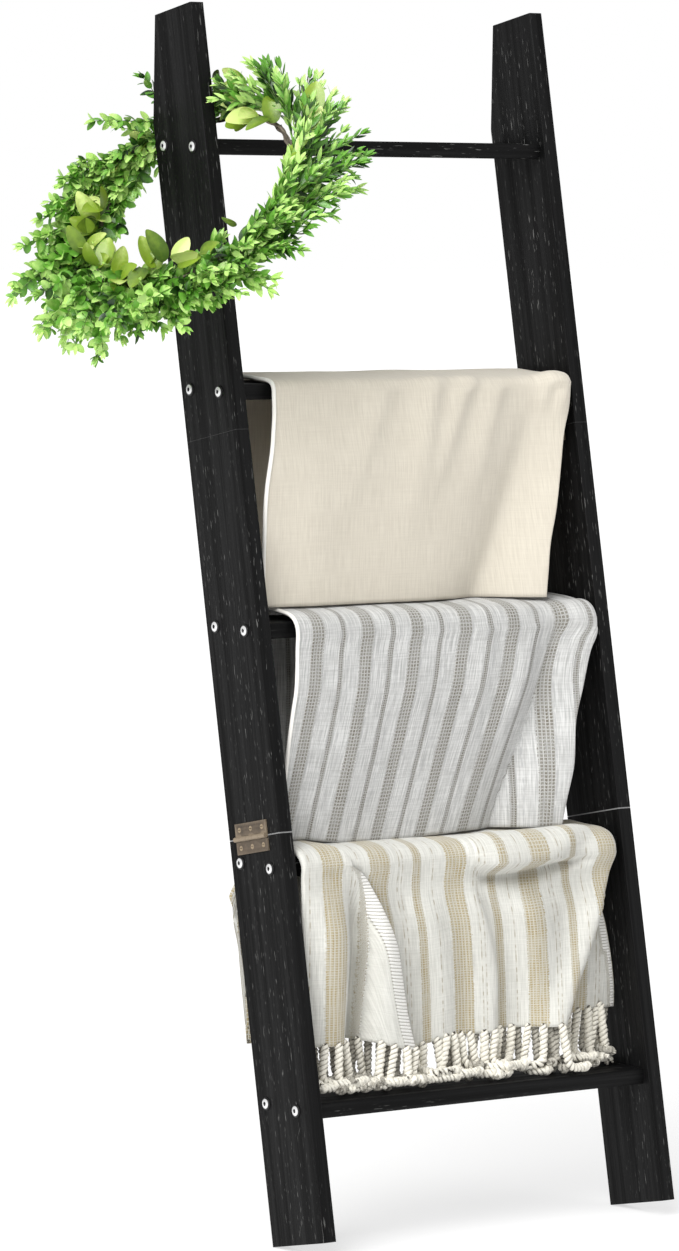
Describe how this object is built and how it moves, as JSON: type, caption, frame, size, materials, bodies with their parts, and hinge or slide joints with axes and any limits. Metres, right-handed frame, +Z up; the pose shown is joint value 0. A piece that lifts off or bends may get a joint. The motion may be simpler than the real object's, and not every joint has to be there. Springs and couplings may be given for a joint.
{
  "type": "blanket ladder with throws",
  "caption": "Leaning black wooden blanket ladder with three draped throws, one with a tassel fringe, and a leafy wreath hung round one rail.",
  "frame": {"origin": "on the floor, midway between the two rear lower edges of the rails, which carry the ladder", "axes": "+X to the right seen from the front, +Y towards the wall, +Z up"},
  "size_m": [0.7914, 0.4277, 1.5127],
  "materials": {
    "painted_wood": "black stain with open grain and light specks, satin",
    "bolt_steel": "bright zinc, satin",
    "insert_brass": "plain turned",
    "hinge_bronze": "antique bronze, satin",
    "hinge_screw": "antique bronze, satin",
    "cream_cloth": "smooth fine plain weave, soft",
    "striped_cloth": "slub weave with grey-taupe basket-weave stripes",
    "ribbed_cloth": "slub weave with ribbed beige stripes",
    "fringe_yarn": "twisted cotton yarn",
    "twig": "bare twigs",
    "foliage": "small oval leaves, slightly glossy"
  },
  "bodies": {
    "ladder": {"left_lower_hinge_lower_leaf": "hinge_bronze", "left_lower_hinge_pin": "hinge_bronze", "left_lower_hinge_screws": "hinge_screw", "left_lower_hinge_upper_leaf": "hinge_bronze", "left_rail_lower": "painted_wood", "left_rail_middle": "painted_wood", "left_rail_upper": "painted_wood", "left_rung_bolts": "bolt_steel", "left_rung_inserts": "insert_brass", "left_upper_hinge_lower_leaf": "hinge_bronze", "left_upper_hinge_pin": "hinge_bronze", "left_upper_hinge_screws": "hinge_screw", "left_upper_hinge_upper_leaf": "hinge_bronze", "right_lower_hinge_lower_leaf": "hinge_bronze", "right_lower_hinge_pin": "hinge_bronze", "right_lower_hinge_screws": "hinge_screw", "right_lower_hinge_upper_leaf": "hinge_bronze", "right_rail_lower": "painted_wood", "right_rail_middle": "painted_wood", "right_rail_upper": "painted_wood", "right_rung_bolts": "bolt_steel", "right_rung_inserts": "insert_brass", "right_upper_hinge_lower_leaf": "hinge_bronze", "right_upper_hinge_pin": "hinge_bronze", "right_upper_hinge_screws": "hinge_screw", "right_upper_hinge_upper_leaf": "hinge_bronze", "rung_1": "painted_wood", "rung_2": "painted_wood", "rung_3": "painted_wood", "rung_4": "painted_wood", "rung_5": "painted_wood", "throw_cream": "cream_cloth", "throw_fringe": "fringe_yarn", "throw_fringed": "ribbed_cloth", "throw_striped": "striped_cloth"},
    "wreath": {"foliage_front": "foliage", "foliage_left": "foliage", "foliage_top": "foliage", "wreath_hoop": "twig"}
  },
  "joints": [
    {"name": "wreath_lift", "type": "slide", "parent": "ladder", "child": "wreath", "axis": [0, 0.2079, 0.9781], "range_m": [0, 0.45]}
  ]
}
